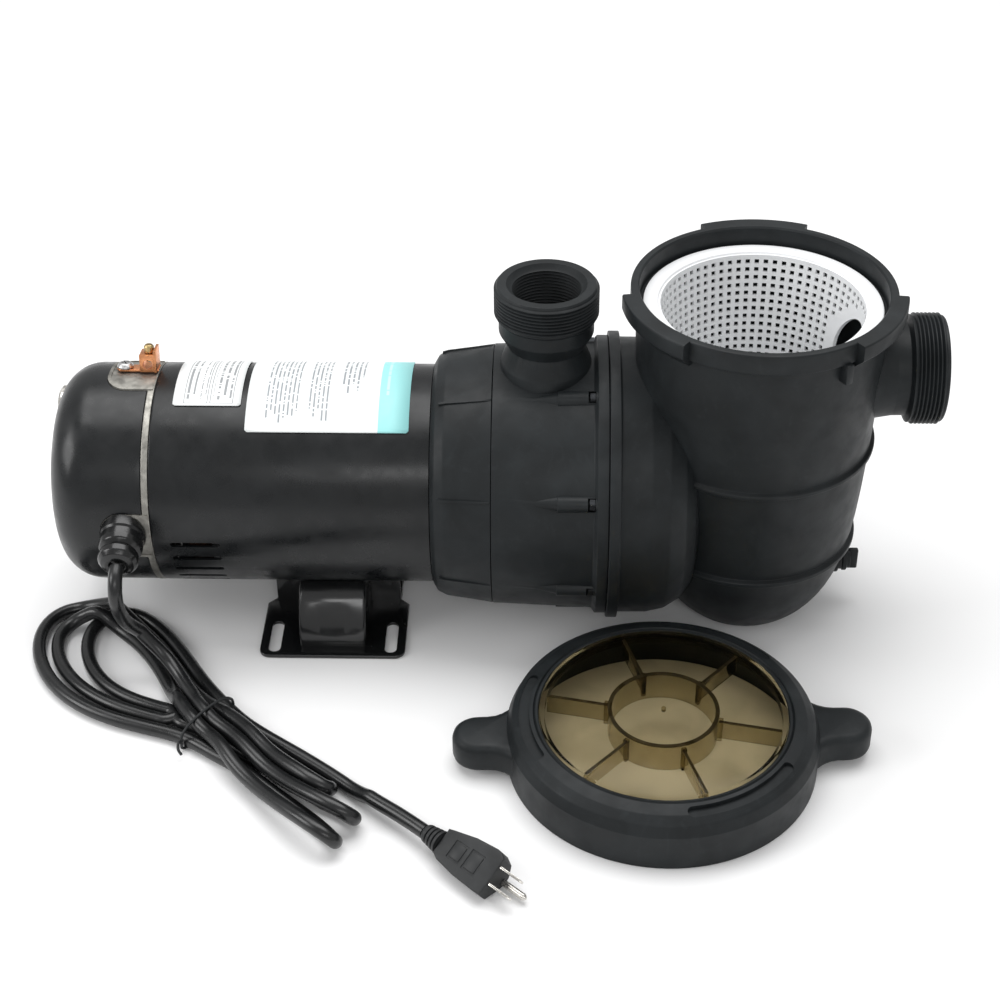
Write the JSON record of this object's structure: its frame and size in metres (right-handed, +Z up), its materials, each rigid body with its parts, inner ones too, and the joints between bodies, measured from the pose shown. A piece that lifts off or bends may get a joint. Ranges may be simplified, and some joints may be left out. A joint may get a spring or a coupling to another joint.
{
  "type": "pool pump",
  "caption": "Swimming pool pump with an electric motor, volute, strainer pot with a lift-out basket, a loose threaded lid with a clear window, and a tied mains cord.",
  "frame": {"origin": "centre of the motor foot's underside, on the floor", "axes": "+X along the motor axis towards the suction port, +Y away from the loose lid, +Z up"},
  "size_m": [0.6559, 0.4334, 0.2661],
  "materials": {
    "black_paint": "satin",
    "gloss_paint": "gloss",
    "cast_metal": "as cast",
    "steel": "plated",
    "copper": "bare copper",
    "brass": "bare",
    "label": "printed film",
    "charcoal_plastic": "moulded",
    "gland_plastic": "moulded",
    "white_plastic": "moulded",
    "smoked_plastic": "clear",
    "rubber": "moulded",
    "ceramic": "lapped",
    "cord_jacket": "extruded"
  },
  "bodies": {
    "pump": {"motor_shell": "black_paint", "end_cover": "black_paint", "rear_end_frame": "cast_metal", "front_end_frame": "cast_metal", "ground_lug": "copper", "lug_mount_screw": "steel", "wire_clamp_screw": "brass", "rating_label": "label", "care_label": "label", "motor_foot": "gloss_paint", "gland_body": "gland_plastic", "gland_nut": "gland_plastic", "stator_core": "steel", "stator_winding_rear": "copper", "stator_winding_front": "copper", "run_capacitor": "steel", "terminal_board": "charcoal_plastic", "rear_bearing_outer": "steel", "front_bearing_outer": "steel", "seal_plate": "charcoal_plastic", "seal_seat_ring": "ceramic", "seal_plate_oring": "rubber", "volute_casing": "charcoal_plastic", "casing_oring": "rubber", "diffuser": "charcoal_plastic", "strainer_housing": "charcoal_plastic", "through_bolt_1": "steel", "through_bolt_2": "steel", "through_bolt_3": "steel", "through_bolt_4": "steel", "casing_bolt_1": "steel", "casing_bolt_2": "steel", "casing_bolt_3": "steel", "casing_bolt_4": "steel", "casing_bolt_5": "steel", "casing_bolt_6": "steel", "casing_bolt_7": "steel", "casing_bolt_8": "steel", "cord_drop": "cord_jacket", "cord_hank": "cord_jacket", "cord_tie": "rubber", "cord_plug_end": "cord_jacket", "plug_strain_relief": "rubber", "plug_body": "rubber", "plug_blade_1": "brass", "plug_blade_2": "brass", "plug_ground_pin": "brass"},
    "rotor": {"motor_shaft": "steel", "rotor_core": "steel", "cooling_fan": "white_plastic", "rear_bearing_inner": "steel", "front_bearing_inner": "steel", "seal_rotary_head": "rubber", "impeller": "charcoal_plastic"},
    "basket": {"strainer_basket": "white_plastic"},
    "lid_window": {"lid_lens": "smoked_plastic", "lid_oring": "rubber"},
    "lid_collar": {"lid_ring": "charcoal_plastic"},
    "drain_seal": {"drain_plug_oring": "rubber"},
    "drain_screw": {"drain_plug": "charcoal_plastic"}
  },
  "joints": [
    {"name": "rotor_spin", "type": "hinge", "parent": "pump", "child": "rotor", "pos_m": [0, 0, 0.107], "axis": [1, 0, 0], "continuous": true},
    {"name": "basket_lift", "type": "slide", "parent": "pump", "child": "basket", "axis": [0, 0, 1], "range_m": [0, 0.2]},
    {"name": "lid_lift", "type": "slide", "parent": "pump", "child": "lid_window", "axis": [0, -0.5, 0.866], "range_m": [0, 0.25]},
    {"name": "lid_turn", "type": "hinge", "parent": "lid_window", "child": "lid_collar", "pos_m": [0.236, -0.183, 0], "axis": [0, 0, 1], "range_deg": [-50, 0]},
    {"name": "drain_slide", "type": "slide", "parent": "pump", "child": "drain_seal", "axis": [1, 0, 0], "range_m": [0, 0.0121]},
    {"name": "drain_turn", "type": "hinge", "parent": "drain_seal", "child": "drain_screw", "pos_m": [0.377, 0, 0.032], "axis": [1, 0, 0], "range_deg": [0, 2160]}
  ],
  "couplings": [
    {"joint": "drain_slide", "follows": "drain_turn", "m_per_rad": 0.00031831}
  ]
}
